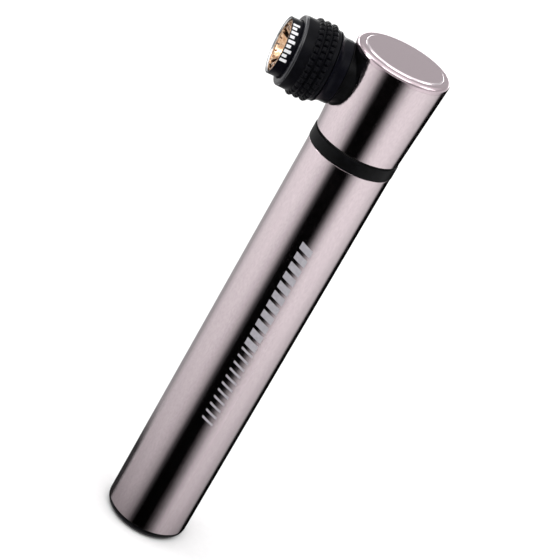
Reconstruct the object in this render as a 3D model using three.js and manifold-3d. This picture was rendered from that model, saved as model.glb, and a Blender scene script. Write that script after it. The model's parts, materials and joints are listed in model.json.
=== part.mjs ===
// A bicycle mini pump, standing on its end cap. The big outer tube is the handle: it slides along
// an inner barrel that hangs from the head, and the piston on the handle's rod works in that barrel.
// The head carries a screw-on chuck whose sleeve closes three brass jaws on the valve.
//
// Millimetres, +Z up. The origin is the centre of the base, on the tube's axis, and the chuck points
// along -X. Every profile is a list of [radius, height] points, up the outside and down the inside.

import * as THREE from "three";
import { mergeVertices } from "three/addons/utils/BufferGeometryUtils.js";
import Module from "manifold-3d";

const wasm = await Module();
wasm.setup();

// Heights along the pump
const TOTAL_HEIGHT = 168.1;
const LID_TOP = 167.75;
const LID_BOTTOM = 166.0;
const HEAD_BOTTOM = 140.1;
const RING_TOP = 139.6;
const RING_BOTTOM = 135.65;
const RIM_HEIGHT = 2.5;

// Radii of the outside
const TUBE_RADIUS = 13.0;
const RING_RADIUS = 13.15;
const HEAD_TOP_RADIUS = 14.33;
const BASE_FILLET = 2.4;
const LID_FILLET = 1.1;

// Radii of the working parts
const TUBE_BORE = 12.0;
const BARREL_RADIUS = 10.0;
const BARREL_BORE = 9.0;
const ROD_RADIUS = 3.5;
const SHELL_BORE = 11.6;
const CORE_RADIUS = 11.4;

// The barrel and the piston with the pump closed
const FOOT_BOTTOM = 15.2;
const FOOT_TOP = 19.0;
const BARREL_TOP = 149.3;
const CORE_BOTTOM = 145.7;
const CORE_FLOOR = 150.4;
const CORE_TOP = 164.4;
const PISTON_BOTTOM = 138.8;
const PISTON_TOP = 148.2;
const PISTON_RADIUS = 8.85;
const ROD_TOP = 141.4;

// The check valve inside the head
const CHAMBER_RADIUS = 3.4;
const CHAMBER_ROOF = 158.4;
const AIR_HOLE = 1.5;
const AIR_PASSAGE = 1.7;

// The chuck, measured along its own axis from the pump's axis
const CHUCK_HEIGHT = 156.43;
const WINDOW_CENTRE = 155.9;
const WINDOW_RADIUS = 8.65;
const BOSS_RADIUS = 8.45;
const BOSS_END = 14.6;
const NIPPLE_RADIUS = 5.5;
const NIPPLE_END = 19.4;
const CHUCK_REAR = 14.8;
const NECK_RADIUS = 9.4;
const FLARE_START = 16.6;
const FLARE_END = 18.6;
const FLARE_RADIUS = 10.4;
const GUIDE_RADIUS = 8.5;
const SLEEVE_REAR = 19.0;
const SLEEVE_FRONT = 29.9;
const SLEEVE_RADIUS = 10.6;
const SLEEVE_BORE = 8.75;
const RIDGE_RADIUS = 11.4;
const RIDGE_PLACES = [21.05, 23.1, 25.2];
const COLLAR_RADIUS = 8.43;
const COLLAR_BORE = 6.6;
const COLLAR_END = 33.1;
const MOUTH_RADIUS = 7.85;
const MOUTH_FLOOR = 31.0;
const MOUTH_CHAMFER = 0.4;
const JAW_COUNT = 3;
const JAW_REAR = 27.3;
const JAW_FRONT = 32.7;
const JAW_INNER = 3.2;
const JAW_OUTER = 5.95;
const JAW_HEAD_RADIUS = 7.6;
const LUG_REAR = 27.9;
const LUG_FRONT = 28.9;
const LUG_REACH = 9.05;
const LUG_WIDTH = 2.4;

const FIT = 0.1;
const FINE = 40;
const MEDIUM = 28;
const COARSE = 20;

// ---- Solids ----

function turned(profile, segments = MEDIUM) {
  const points = profile.map(([radius, height]) => new THREE.Vector2(radius, height));
  const isRing = profile[0][0] > 0;
  if (isRing) points.push(points[0].clone());
  return new THREE.LatheGeometry(points, segments);
}

function arc(centreRadius, centreHeight, radius, fromDegrees, toDegrees, steps) {
  return Array.from({ length: steps + 1 }, (_, i) => {
    const angle = THREE.MathUtils.degToRad(fromDegrees + ((toDegrees - fromDegrees) * i) / steps);
    return [centreRadius + radius * Math.cos(angle), centreHeight + radius * Math.sin(angle)];
  });
}

// A ring of round section.
function roundRing(ringRadius, height, sectionRadius) {
  const sides = 6;
  return turned(arc(ringRadius, height, sectionRadius, 0, 360 - 360 / sides, sides - 1), COARSE);
}

// A tube or washer of square section.
function squareRing(innerRadius, outerRadius, bottom, top, segments = MEDIUM) {
  const section = [
    [innerRadius, bottom],
    [outerRadius, bottom],
    [outerRadius, top],
    [innerRadius, top],
  ];
  return turned(section, segments);
}

function hexagon(radius) {
  const corners = Array.from({ length: 6 }, (_, i) => {
    const angle = (i * Math.PI) / 3;
    return new THREE.Vector2(radius * Math.cos(angle), radius * Math.sin(angle));
  });
  return new THREE.Shape(corners);
}

// A flat outline given thickness along the axis, between two heights.
function raised(shape, bottom, top, curveSegments = 12) {
  const options = { depth: top - bottom, bevelEnabled: false, curveSegments };
  return new THREE.ExtrudeGeometry(shape, options).rotateX(-Math.PI / 2).translate(0, bottom, 0);
}

function toSolid(geometry) {
  const bare = geometry.clone();
  bare.deleteAttribute("normal");
  bare.deleteAttribute("uv");
  const merged = mergeVertices(bare, 1e-4);
  const vertProperties = merged.attributes.position.array;
  const triVerts = new Uint32Array(merged.index.array);
  return new wasm.Manifold(new wasm.Mesh({ numProp: 3, vertProperties, triVerts }));
}

function toGeometry(solid) {
  const { vertProperties, triVerts } = solid.getMesh();
  const geometry = new THREE.BufferGeometry();
  geometry.setAttribute("position", new THREE.BufferAttribute(vertProperties, 3));
  geometry.setIndex(new THREE.BufferAttribute(triVerts, 1));
  geometry.computeVertexNormals();
  return geometry;
}

// A screw with a hexagonal socket in its head, pointing down.
function socketScrew({ tip, shoulder, headTop, shankRadius, headRadius, socketRadius }) {
  const body = turned([
    [0, tip],
    [shankRadius, tip],
    [shankRadius, shoulder],
    [headRadius, shoulder],
    [headRadius, headTop],
    [0, headTop],
  ], COARSE);
  const socketDepth = 0.6 * (headTop - shoulder);
  const socket = raised(hexagon(socketRadius), headTop - socketDepth, headTop + 1);
  return toGeometry(toSolid(body).subtract(toSolid(socket)));
}

// ---- Finishes ----

const anodised = () => new THREE.MeshStandardMaterial({ color: 0xc9bcc0, roughness: 0.3, metalness: 1 });
const bareAlloy = () => new THREE.MeshStandardMaterial({ color: 0xd2d3d6, roughness: 0.35, metalness: 1 });
const blackPlastic = () => new THREE.MeshStandardMaterial({ color: 0x16161a, roughness: 0.45, metalness: 0 });
const blackAlloy = () => new THREE.MeshStandardMaterial({ color: 0x101014, roughness: 0.35, metalness: 0.6 });
const rubber = () => new THREE.MeshStandardMaterial({ color: 0x0c0c0d, roughness: 0.8, metalness: 0 });
const nylon = () => new THREE.MeshStandardMaterial({ color: 0xe6e2d8, roughness: 0.5, metalness: 0 });
const brass = () => new THREE.MeshStandardMaterial({ color: 0xc79a4b, roughness: 0.3, metalness: 1 });
const steel = () => new THREE.MeshStandardMaterial({ color: 0x9c9ea2, roughness: 0.3, metalness: 1 });

function part(name, geometry, material) {
  const mesh = new THREE.Mesh(geometry, material);
  mesh.name = name;
  return mesh;
}

// ---- Handle: everything that moves with the outer tube ----

function handleTube() {
  const low = RIM_HEIGHT + 0.05;
  const high = RING_BOTTOM - 0.1;
  const geometry = turned([
    [TUBE_BORE, low],
    [TUBE_RADIUS, low],
    [TUBE_RADIUS, high],
    [TUBE_BORE, high],
  ], FINE);
  return part("handle_tube", geometry, anodised());
}

function endCap() {
  const floor = 2.2;
  const plugRadius = TUBE_BORE - FIT;
  const plugTop = 12;
  const troughRadius = 10.5;
  const bossRadius = 6.5;
  const bossTop = 10;
  const rodHole = ROD_RADIUS + FIT;
  const geometry = turned([
    [0, 0],
    ...arc(TUBE_RADIUS - BASE_FILLET, BASE_FILLET, BASE_FILLET, -90, 0, 5),
    [TUBE_RADIUS, RIM_HEIGHT],
    [plugRadius, RIM_HEIGHT],
    [plugRadius, plugTop],
    [troughRadius, plugTop],
    [troughRadius, floor],
    [bossRadius, floor],
    [bossRadius, bossTop],
    [rodHole, bossTop],
    [rodHole, floor],
    [0, floor],
  ]);
  return part("end_cap", geometry, blackPlastic());
}

function guideRing() {
  const spigotBottom = 126;
  const bore = BARREL_RADIUS + 0.25;
  const grooveRadius = 11.2;
  const grooveBottom = 136.9;
  const grooveTop = 138.7;
  const geometry = turned([
    [bore, spigotBottom],
    [TUBE_BORE - FIT, spigotBottom],
    [TUBE_BORE - FIT, RING_BOTTOM],
    [RING_RADIUS - 0.15, RING_BOTTOM],
    [RING_RADIUS, RING_BOTTOM + 0.15],
    [RING_RADIUS, RING_TOP - 0.2],
    [RING_RADIUS - 0.2, RING_TOP],
    [bore, RING_TOP],
    [bore, grooveTop],
    [grooveRadius, grooveTop],
    [grooveRadius, grooveBottom],
    [bore, grooveBottom],
  ], FINE);
  return part("guide_ring", geometry, blackPlastic());
}

function wiperRing() {
  return part("wiper_ring", squareRing(BARREL_RADIUS + FIT, 11.1, 137.05, 138.55), rubber());
}

function headBumper() {
  return part("head_bumper", squareRing(10.5, 12.8, RING_TOP + 0.05, HEAD_BOTTOM - 0.05), rubber());
}

function pistonRod() {
  const bottom = 2.4;
  const screwHole = 2.05;
  const screwHoleBottom = 129.4;
  const geometry = turned([
    [0, bottom],
    [ROD_RADIUS, bottom],
    [ROD_RADIUS, ROD_TOP],
    [screwHole, ROD_TOP],
    [screwHole, screwHoleBottom],
    [0, screwHoleBottom],
  ], COARSE);
  return part("piston_rod", geometry, bareAlloy());
}

function rodNut() {
  const outline = hexagon(6.35);
  const hole = new THREE.Path().absarc(0, 0, ROD_RADIUS + 0.25, 0, 2 * Math.PI, true);
  outline.holes.push(hole);
  return part("rod_nut", raised(outline, 10.15, 14), steel());
}

function piston() {
  const hubHole = ROD_RADIUS + FIT;
  const hubTop = ROD_TOP + 0.2;
  const screwClearance = 2.2;
  const headSeat = 145.3;
  const headRecess = 3.9;
  const grooveRadius = 7.0;
  const grooveBottom = 142.9;
  const grooveTop = 145.7;
  const geometry = turned([
    [hubHole, PISTON_BOTTOM],
    [PISTON_RADIUS, PISTON_BOTTOM],
    [PISTON_RADIUS, grooveBottom],
    [grooveRadius, grooveBottom],
    [grooveRadius, grooveTop],
    [PISTON_RADIUS, grooveTop],
    [PISTON_RADIUS, PISTON_TOP - 0.3],
    [PISTON_RADIUS - 0.3, PISTON_TOP],
    [headRecess, PISTON_TOP],
    [headRecess, headSeat],
    [screwClearance, headSeat],
    [screwClearance, hubTop],
    [hubHole, hubTop],
  ], COARSE);
  return part("piston", geometry, nylon());
}

function pistonScrew() {
  const geometry = socketScrew({
    tip: 130.4,
    shoulder: 145.4,
    headTop: 147.8,
    shankRadius: 1.9,
    headRadius: 3.6,
    socketRadius: 1.6,
  });
  return part("piston_screw", geometry, steel());
}

function pistonBumper() {
  return part("piston_bumper", squareRing(ROD_RADIUS + FIT, 7, 136.4, 138.7, COARSE), rubber());
}

function pistonOring() {
  return part("piston_oring", roundRing(7.98, 143.9, 0.92), rubber());
}

// ---- Barrel and head ----

function barrelTube() {
  const geometry = squareRing(BARREL_BORE, BARREL_RADIUS, FOOT_TOP + 0.1, BARREL_TOP);
  return part("barrel_tube", geometry, bareAlloy());
}

function barrelFoot() {
  const flangeRadius = 11.8;
  const spigotTop = 28;
  const bore = ROD_RADIUS + 0.2;
  const geometry = turned([
    [bore, FOOT_BOTTOM],
    [flangeRadius, FOOT_BOTTOM],
    [flangeRadius, FOOT_TOP],
    [BARREL_BORE - FIT, FOOT_TOP],
    [BARREL_BORE - FIT, spigotTop],
    [bore, spigotTop],
  ]);
  return part("barrel_foot", geometry, nylon());
}

function footBumper() {
  return part("foot_bumper", roundRing(11.0, 20.0, 0.8), rubber());
}

function barrelOring() {
  return part("barrel_oring", roundRing(9.45, 149.88, 0.45), rubber());
}

// The window in the head's side: a U outline seen along the chuck's axis, open at the top.
function windowPrism(halfWidth, top, near, far) {
  const outline = new THREE.Shape();
  outline.moveTo(halfWidth, top);
  outline.lineTo(-halfWidth, top);
  outline.lineTo(-halfWidth, WINDOW_CENTRE);
  outline.absarc(0, WINDOW_CENTRE, halfWidth, Math.PI, 2 * Math.PI, false);
  outline.closePath();
  const options = { depth: far - near, bevelEnabled: false, curveSegments: 24 };
  return new THREE.ExtrudeGeometry(outline, options).rotateY(-Math.PI / 2).translate(-near, 0, 0);
}

// A solid of revolution about the chuck's axis, placed at the chuck's height.
function turnedSideways(profile) {
  return turned(profile).rotateZ(Math.PI / 2).translate(0, CHUCK_HEIGHT, 0);
}

function headShell() {
  const flangeBore = 10.3;
  const flangeTop = CORE_BOTTOM - 0.3;
  const top = LID_BOTTOM - 0.1;
  const shell = turned([
    [flangeBore, HEAD_BOTTOM],
    [TUBE_RADIUS - 0.15, HEAD_BOTTOM],
    [TUBE_RADIUS, HEAD_BOTTOM + 0.2],
    [HEAD_TOP_RADIUS, top],
    [SHELL_BORE, top],
    [SHELL_BORE, flangeTop],
    [flangeBore, flangeTop],
  ], FINE);
  const window = windowPrism(WINDOW_RADIUS, LID_BOTTOM + 1, 5, 20);
  return part("head_shell", toGeometry(toSolid(shell).subtract(toSolid(window))), anodised());
}

function headCore() {
  const screwHole = 2.05;
  const screwHoleBottom = 159.6;
  const socketRadius = BARREL_RADIUS + FIT;
  const blockTop = LID_BOTTOM - 0.2;
  const inset = 0.05;
  const wallInside = 10.7;
  const bossRim = NECK_RADIUS - 0.15;
  const bossRimRear = HEAD_TOP_RADIUS + 0.05;
  const body = turned([
    [0, CHAMBER_ROOF],
    [CHAMBER_RADIUS, CHAMBER_ROOF],
    [CHAMBER_RADIUS, CORE_FLOOR],
    [socketRadius, CORE_FLOOR],
    [socketRadius, CORE_BOTTOM],
    [CORE_RADIUS, CORE_BOTTOM],
    [CORE_RADIUS, CORE_TOP],
    [screwHole, CORE_TOP],
    [screwHole, screwHoleBottom],
    [0, screwHoleBottom],
  ]);
  const flushCone = turned([
    [0, HEAD_BOTTOM],
    [TUBE_RADIUS - inset, HEAD_BOTTOM + 0.2],
    [HEAD_TOP_RADIUS - inset, LID_BOTTOM - 0.1],
    [0, LID_BOTTOM - 0.1],
  ], FINE);
  const spigotRoom = turned([
    [0, CORE_TOP],
    [SHELL_BORE, CORE_TOP],
    [SHELL_BORE, LID_BOTTOM],
    [0, LID_BOTTOM],
  ]);
  const boss = turnedSideways([
    [0, wallInside],
    [BOSS_RADIUS, wallInside],
    [BOSS_RADIUS, bossRimRear],
    [bossRim, bossRimRear],
    [bossRim, BOSS_END],
    [NIPPLE_RADIUS, BOSS_END],
    [NIPPLE_RADIUS, NIPPLE_END - 0.3],
    [NIPPLE_RADIUS - 0.3, NIPPLE_END],
    [0, NIPPLE_END],
  ]);
  const airHole = turnedSideways([
    [0, 2],
    [AIR_HOLE, 2],
    [AIR_HOLE, NIPPLE_END + 1],
    [0, NIPPLE_END + 1],
  ]);
  const windowFill = windowPrism(WINDOW_RADIUS - 0.15, blockTop, wallInside, 16);
  const block = toSolid(windowFill).intersect(toSolid(flushCone));
  const solid = toSolid(body)
    .add(block)
    .add(toSolid(boss))
    .subtract(toSolid(spigotRoom))
    .subtract(toSolid(airHole));
  return part("head_core", toGeometry(solid), blackPlastic());
}

function topCap() {
  const spigotRadius = SHELL_BORE - 0.3;
  const spigotBottom = CORE_TOP + 0.2;
  const recessRadius = 12.3;
  const recessFloor = 167.1;
  const screwRecess = 3.9;
  const screwSeat = 165.6;
  const screwClearance = 2.2;
  const edgeRadius = HEAD_TOP_RADIUS + 0.04;
  const geometry = turned([
    [screwClearance, spigotBottom],
    [spigotRadius, spigotBottom],
    [spigotRadius, LID_BOTTOM],
    [HEAD_TOP_RADIUS, LID_BOTTOM],
    ...arc(edgeRadius - LID_FILLET, LID_TOP - LID_FILLET, LID_FILLET, 0, 90, 4),
    [recessRadius, LID_TOP],
    [recessRadius, recessFloor],
    [screwRecess, recessFloor],
    [screwRecess, screwSeat],
    [screwClearance, screwSeat],
  ], FINE);
  return part("top_cap", geometry, anodised());
}

function topDisc() {
  const radius = 12.2;
  const bottom = 167.18;
  const chamfer = 0.5;
  const geometry = turned([
    [0, bottom],
    [radius, bottom],
    [radius, TOTAL_HEIGHT - chamfer],
    [radius - chamfer, TOTAL_HEIGHT],
    [0, TOTAL_HEIGHT],
  ], FINE);
  return part("top_disc", geometry, anodised());
}

function capScrew() {
  const geometry = socketScrew({
    tip: 160.4,
    shoulder: 165.7,
    headTop: 166.9,
    shankRadius: 1.9,
    headRadius: 3.6,
    socketRadius: 1.5,
  });
  return part("cap_screw", geometry, steel());
}

// ---- Check valve ----

function valveSeat() {
  const geometry = squareRing(1.2, CHAMBER_RADIUS - FIT, CORE_FLOOR + FIT, 152.4, COARSE);
  return part("valve_seat", geometry, brass());
}

function valvePoppet() {
  const face = 152.5;
  const headRadius = 2.3;
  const headTop = 153.7;
  const stemRadius = 0.9;
  const stemTop = 156.6;
  const geometry = turned([
    [0, face],
    [headRadius, face],
    [headRadius, headTop],
    [stemRadius, headTop],
    [stemRadius, stemTop],
    [0, stemTop],
  ], COARSE);
  return part("valve_poppet", geometry, rubber());
}

class Helix extends THREE.Curve {
  constructor(radius, bottom, top, turns) {
    super();
    Object.assign(this, { radius, bottom, top, turns });
  }

  getPoint(t) {
    const angle = 2 * Math.PI * this.turns * t;
    const height = this.bottom + (this.top - this.bottom) * t;
    return new THREE.Vector3(this.radius * Math.cos(angle), height, this.radius * Math.sin(angle));
  }
}

function valveSpring() {
  const wire = 0.22;
  const turns = 4;
  const section = new THREE.Shape().absarc(0, 0, wire, 0, 2 * Math.PI, false);
  const path = new Helix(1.6, 153.8 + wire, CHAMBER_ROOF - 0.1 - wire, turns);
  const options = { steps: turns * 10, curveSegments: 3, bevelEnabled: false, extrudePath: path };
  return part("valve_spring", new THREE.ExtrudeGeometry(section, options), steel());
}

// ---- Chuck, along its own axis ----

function chuckSeal() {
  return part("chuck_seal", squareRing(AIR_PASSAGE, 5.35, 19.6, 20.6, COARSE), rubber());
}

function chuckBody() {
  const nippleBore = NIPPLE_RADIUS + FIT;
  const wallRear = 20.75;
  const wallFront = 21.7;
  const glandRoom = 6.3;
  const threadRadius = 7.3;
  const threadRear = 22.9;
  const front = 26.4;
  const step = FLARE_END + 0.2;
  const grooveRadius = 7.6;
  const grooveRear = 20.4;
  const grooveFront = 21.8;
  const flare = new THREE.QuadraticBezierCurve(
    new THREE.Vector2(NECK_RADIUS, FLARE_START),
    new THREE.Vector2(NECK_RADIUS, (FLARE_START + FLARE_END) / 2),
    new THREE.Vector2(FLARE_RADIUS, FLARE_END),
  );
  const geometry = turned([
    [nippleBore, CHUCK_REAR],
    [NECK_RADIUS, CHUCK_REAR],
    ...flare.getPoints(4).map((p) => [p.x, p.y]),
    [FLARE_RADIUS, step],
    [GUIDE_RADIUS, step],
    [GUIDE_RADIUS, grooveRear],
    [grooveRadius, grooveRear],
    [grooveRadius, grooveFront],
    [GUIDE_RADIUS, grooveFront],
    [GUIDE_RADIUS, threadRear],
    [threadRadius, threadRear],
    [threadRadius, front],
    [glandRoom, front],
    [glandRoom, wallFront],
    [AIR_PASSAGE, wallFront],
    [AIR_PASSAGE, wallRear],
    [nippleBore, wallRear],
  ]);
  return part("chuck_body", geometry, blackAlloy());
}

function gland() {
  const bore = 3.05;
  const outside = 6.15;
  const rear = 21.85;
  const front = 26.2;
  const leadIn = 0.8;
  const geometry = turned([
    [bore, rear],
    [outside, rear],
    [outside, front],
    [bore + 0.55, front],
    [bore, front - leadIn],
  ], COARSE);
  return part("gland", geometry, rubber());
}

function glandWasher() {
  return part("gland_washer", squareRing(3.3, COLLAR_BORE - 0.15, 26.5, 27.1, COARSE), brass());
}

function jawAngle(index) {
  return (index * 2 * Math.PI) / JAW_COUNT;
}

// A square peg that points out from the chuck's axis, towards the jaw's side.
function lug(width, rear, front, from, reach) {
  return new THREE.BoxGeometry(width, front - rear, reach - from)
    .translate(0, (rear + front) / 2, (from + reach) / 2);
}

function collar() {
  const skirtRear = 23.2;
  const skirtBore = 7.4;
  const skirtEnd = 26.75;
  const slotMargin = 0.3;
  const ring = turned([
    [skirtBore, skirtRear],
    [COLLAR_RADIUS, skirtRear],
    [COLLAR_RADIUS, COLLAR_END - 0.1],
    [COLLAR_RADIUS - 0.1, COLLAR_END],
    [MOUTH_RADIUS + MOUTH_CHAMFER, COLLAR_END],
    [MOUTH_RADIUS, COLLAR_END - MOUTH_CHAMFER],
    [MOUTH_RADIUS, MOUTH_FLOOR],
    [COLLAR_BORE, MOUTH_FLOOR],
    [COLLAR_BORE, skirtEnd],
    [skirtBore, skirtEnd],
  ]);
  let solid = toSolid(ring);
  for (let i = 0; i < JAW_COUNT; i++) {
    const width = LUG_WIDTH + 2 * slotMargin;
    const slot = lug(width, LUG_REAR - slotMargin, LUG_FRONT + slotMargin, 5, 10);
    solid = solid.subtract(toSolid(slot.rotateY(jawAngle(i))));
  }
  return part("collar", toGeometry(solid), blackAlloy());
}

// A piece of a thick ring, which spans the same angle as a jaw.
function jawSegment(outerRadius, rear, front) {
  const middle = -Math.PI / 2;
  const halfSpan = THREE.MathUtils.degToRad(48);
  const outline = new THREE.Shape();
  outline.absarc(0, 0, outerRadius, middle - halfSpan, middle + halfSpan, false);
  outline.absarc(0, 0, JAW_INNER, middle + halfSpan, middle - halfSpan, true);
  outline.closePath();
  return toSolid(raised(outline, rear, front, 8));
}

// A jaw has a shank inside the collar, a wide head in the collar's mouth and a lug in the slot.
function jaw(index) {
  const headRear = MOUTH_FLOOR + 0.2;
  const funnelRear = 30.4;
  const funnelRadius = 5.4;
  const funnel = turned([
    [0, funnelRear],
    [JAW_INNER, funnelRear],
    [funnelRadius, JAW_FRONT],
    [funnelRadius, JAW_FRONT + 1],
    [0, JAW_FRONT + 1],
  ]);
  const solid = jawSegment(JAW_OUTER, JAW_REAR, JAW_FRONT)
    .add(jawSegment(JAW_HEAD_RADIUS, headRear, JAW_FRONT))
    .add(toSolid(lug(LUG_WIDTH, LUG_REAR, LUG_FRONT, 5, LUG_REACH)))
    .subtract(toSolid(funnel));
  const mesh = part("jaw_" + (index + 1), toGeometry(solid), brass());
  mesh.rotation.y = jawAngle(index);
  return mesh;
}

function sleeve() {
  const coneRear = 25.0;
  const coneFront = 27.7;
  const grooveRadius = 9.3;
  const grooveFront = 29.25;
  const lipBore = 8.6;
  const lipCorner = 10.45;
  const taperStart = 26.4;
  const halfRidge = 0.75;
  const ridges = RIDGE_PLACES.flatMap((place) => [
    [SLEEVE_RADIUS + 0.07, place - halfRidge],
    [RIDGE_RADIUS, place - halfRidge / 2],
    [RIDGE_RADIUS, place + halfRidge / 2],
    [SLEEVE_RADIUS + 0.07, place + halfRidge],
  ]);
  const geometry = turned([
    [SLEEVE_BORE, SLEEVE_REAR],
    [SLEEVE_RADIUS - 0.3, SLEEVE_REAR],
    [SLEEVE_RADIUS, SLEEVE_REAR + 0.7],
    ...ridges,
    [SLEEVE_RADIUS, taperStart],
    [lipCorner, SLEEVE_FRONT - 0.8],
    [lipCorner - 0.85, SLEEVE_FRONT],
    [lipBore, SLEEVE_FRONT],
    [lipBore, grooveFront],
    [grooveRadius, grooveFront],
    [grooveRadius, coneFront],
    [SLEEVE_BORE, coneRear],
  ]);
  return part("sleeve", geometry, blackPlastic());
}

function sleeveOring() {
  return part("sleeve_oring", roundRing(8.2, 21.1, 0.48), rubber());
}

// ---- Assembly ----

const upright = new THREE.Group();
upright.rotation.x = Math.PI / 2;
upright.add(
  handleTube(),
  endCap(),
  guideRing(),
  wiperRing(),
  headBumper(),
  pistonRod(),
  rodNut(),
  piston(),
  pistonScrew(),
  pistonBumper(),
  pistonOring(),
  barrelTube(),
  barrelFoot(),
  footBumper(),
  barrelOring(),
  headShell(),
  headCore(),
  topCap(),
  topDisc(),
  capScrew(),
  valveSeat(),
  valvePoppet(),
  valveSpring(),
);

const chuck = new THREE.Group();
chuck.position.z = CHUCK_HEIGHT;
chuck.rotation.z = Math.PI / 2;
chuck.add(
  chuckSeal(),
  chuckBody(),
  gland(),
  glandWasher(),
  collar(),
  sleeve(),
  sleeveOring(),
);
for (let i = 0; i < JAW_COUNT; i++) chuck.add(jaw(i));

const pump = new THREE.Group();
pump.add(upright, chuck);

export default pump;
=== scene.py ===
import json
import math

import bmesh
import bpy
from mathutils import Matrix, Quaternion, Vector


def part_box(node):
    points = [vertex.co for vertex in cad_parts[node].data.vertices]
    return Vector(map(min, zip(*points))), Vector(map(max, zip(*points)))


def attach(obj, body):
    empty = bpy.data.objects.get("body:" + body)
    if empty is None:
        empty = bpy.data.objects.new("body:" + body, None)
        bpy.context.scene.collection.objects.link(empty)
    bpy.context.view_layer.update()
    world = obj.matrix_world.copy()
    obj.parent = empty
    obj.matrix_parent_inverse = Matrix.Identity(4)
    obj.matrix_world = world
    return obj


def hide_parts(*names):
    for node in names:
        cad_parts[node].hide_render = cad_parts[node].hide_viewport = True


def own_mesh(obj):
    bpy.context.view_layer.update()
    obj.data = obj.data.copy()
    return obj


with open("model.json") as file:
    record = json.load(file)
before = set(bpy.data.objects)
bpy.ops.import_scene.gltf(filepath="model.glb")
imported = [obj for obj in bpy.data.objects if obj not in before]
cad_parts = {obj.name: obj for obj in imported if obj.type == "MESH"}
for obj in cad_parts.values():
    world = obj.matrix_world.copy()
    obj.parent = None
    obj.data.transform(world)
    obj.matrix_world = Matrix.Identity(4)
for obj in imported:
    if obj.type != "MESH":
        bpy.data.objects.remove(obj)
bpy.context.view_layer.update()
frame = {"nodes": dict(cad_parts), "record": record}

# The looks of a bicycle mini pump. Lengths in this file are millimetres, and Blender gets metres.
# A turned piece is an outline of (radius, height, rounding) corners, spun about the tube's axis or,
# for the chuck, about the chuck's own axis, where height is the distance from the tube's axis.
MM = 0.001
FINE = 160
MEDIUM = 96
ON_AXIS = 1e-6

# Sizes that the frame's boxes don't give
BASE_FILLET = 2.4
LID_FILLET = 1.1
WINDOW_RADIUS = 8.65
WINDOW_HEIGHT = 155.9
NECK_RADIUS = 9.4
MOUTH_RADIUS = 7.85
MOUTH_RIM = 8.05
MOUTH_RING_DEPTH = 1.5
RIDGE_PLACES = [21.05, 23.1, 25.2]
BEAD_COUNT = 36
BEAD_HALF_LENGTH = 0.82
PRINT_AZIMUTH = -4.0
TUBE_WALL = 1.0
DISC_EDGE = 0.54
PRINT_LIFT = 0.005
PRINT_THICKNESS = 0.02
LUG_HEIGHT = 28.4
CHAMBER_ROOF = 158.4
CHAMBER_RADIUS = 3.4
SMOOTH_SEGMENTS = 192


# ---------------------------------------------------------------- measuring the frame

def bottom(node):
    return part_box(node)[0].z / MM


def top(node):
    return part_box(node)[1].z / MM


def rear(node):
    return -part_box(node)[1].x / MM


def front(node):
    return -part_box(node)[0].x / MM


def radius(node):
    low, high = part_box(node)
    return (high.y - low.y) / 2 / MM


CHUCK_HEIGHT = (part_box("collar")[0].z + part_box("collar")[1].z) / 2 / MM
TUBE_RADIUS = radius("handle_tube")
HEAD_BOTTOM = bottom("head_shell")
HEAD_TOP = top("head_shell")
HEAD_TOP_RADIUS = radius("head_shell")
HEAD_SLOPE = (HEAD_TOP_RADIUS - TUBE_RADIUS) / (HEAD_TOP - HEAD_BOTTOM - 0.2)


def head_radius(height):
    return TUBE_RADIUS + HEAD_SLOPE * (height - HEAD_BOTTOM - 0.2)


# ---------------------------------------------------------------- node materials

def add(tree, kind, **values):
    node = tree.nodes.new(kind)
    for name, value in values.items():
        setattr(node, name, value)
    return node


def stretched_noise(tree, stretch, scale, detail=3.0):
    """Noise in the piece's own millimetres, drawn out along one axis by stretch."""
    place = add(tree, "ShaderNodeTexCoord")
    mapping = add(tree, "ShaderNodeMapping")
    mapping.inputs["Scale"].default_value = [1000 / s for s in stretch]
    noise = add(tree, "ShaderNodeTexNoise")
    noise.inputs["Scale"].default_value = scale
    noise.inputs["Detail"].default_value = detail
    tree.links.new(place.outputs["Object"], mapping.inputs["Vector"])
    tree.links.new(mapping.outputs["Vector"], noise.inputs["Vector"])
    return noise.outputs["Fac"]


def between(tree, source, low, high, start=0.3, stop=0.7):
    """source, spread over the numbers from low to high."""
    node = add(tree, "ShaderNodeMapRange")
    node.inputs["From Min"].default_value = start
    node.inputs["From Max"].default_value = stop
    node.inputs["To Min"].default_value = low
    node.inputs["To Max"].default_value = high
    tree.links.new(source, node.inputs["Value"])
    return node.outputs["Result"]


def two_colours(tree, source, dark, light):
    ramp = add(tree, "ShaderNodeValToRGB")
    ramp.color_ramp.elements[0].position = 0.3
    ramp.color_ramp.elements[0].color = (*dark, 1)
    ramp.color_ramp.elements[1].position = 0.7
    ramp.color_ramp.elements[1].color = (*light, 1)
    tree.links.new(source, ramp.inputs["Fac"])
    return ramp.outputs["Color"]


def finish(name, dark, light, roughness, metallic=0.0, specular=0.5, stretch=(1, 1, 1),
           patches=0.4, grain=3.0, bump=0.1, depth=0.02):
    """A Principled material: colour from broad patches, roughness and bump from a finer grain."""
    material = bpy.data.materials.new(name)
    material.use_nodes = True
    tree = material.node_tree
    shader = tree.nodes["Principled BSDF"]
    shader.inputs["Metallic"].default_value = metallic
    shader.inputs["Specular IOR Level"].default_value = specular
    broad = stretched_noise(tree, stretch, patches)
    fine = stretched_noise(tree, stretch, grain, 4.0)
    relief = add(tree, "ShaderNodeBump")
    relief.inputs["Strength"].default_value = bump
    relief.inputs["Distance"].default_value = depth * MM
    tree.links.new(fine, relief.inputs["Height"])
    tree.links.new(two_colours(tree, broad, dark, light), shader.inputs["Base Color"])
    tree.links.new(between(tree, fine, *roughness), shader.inputs["Roughness"])
    tree.links.new(relief.outputs["Normal"], shader.inputs["Normal"])
    return material


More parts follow.
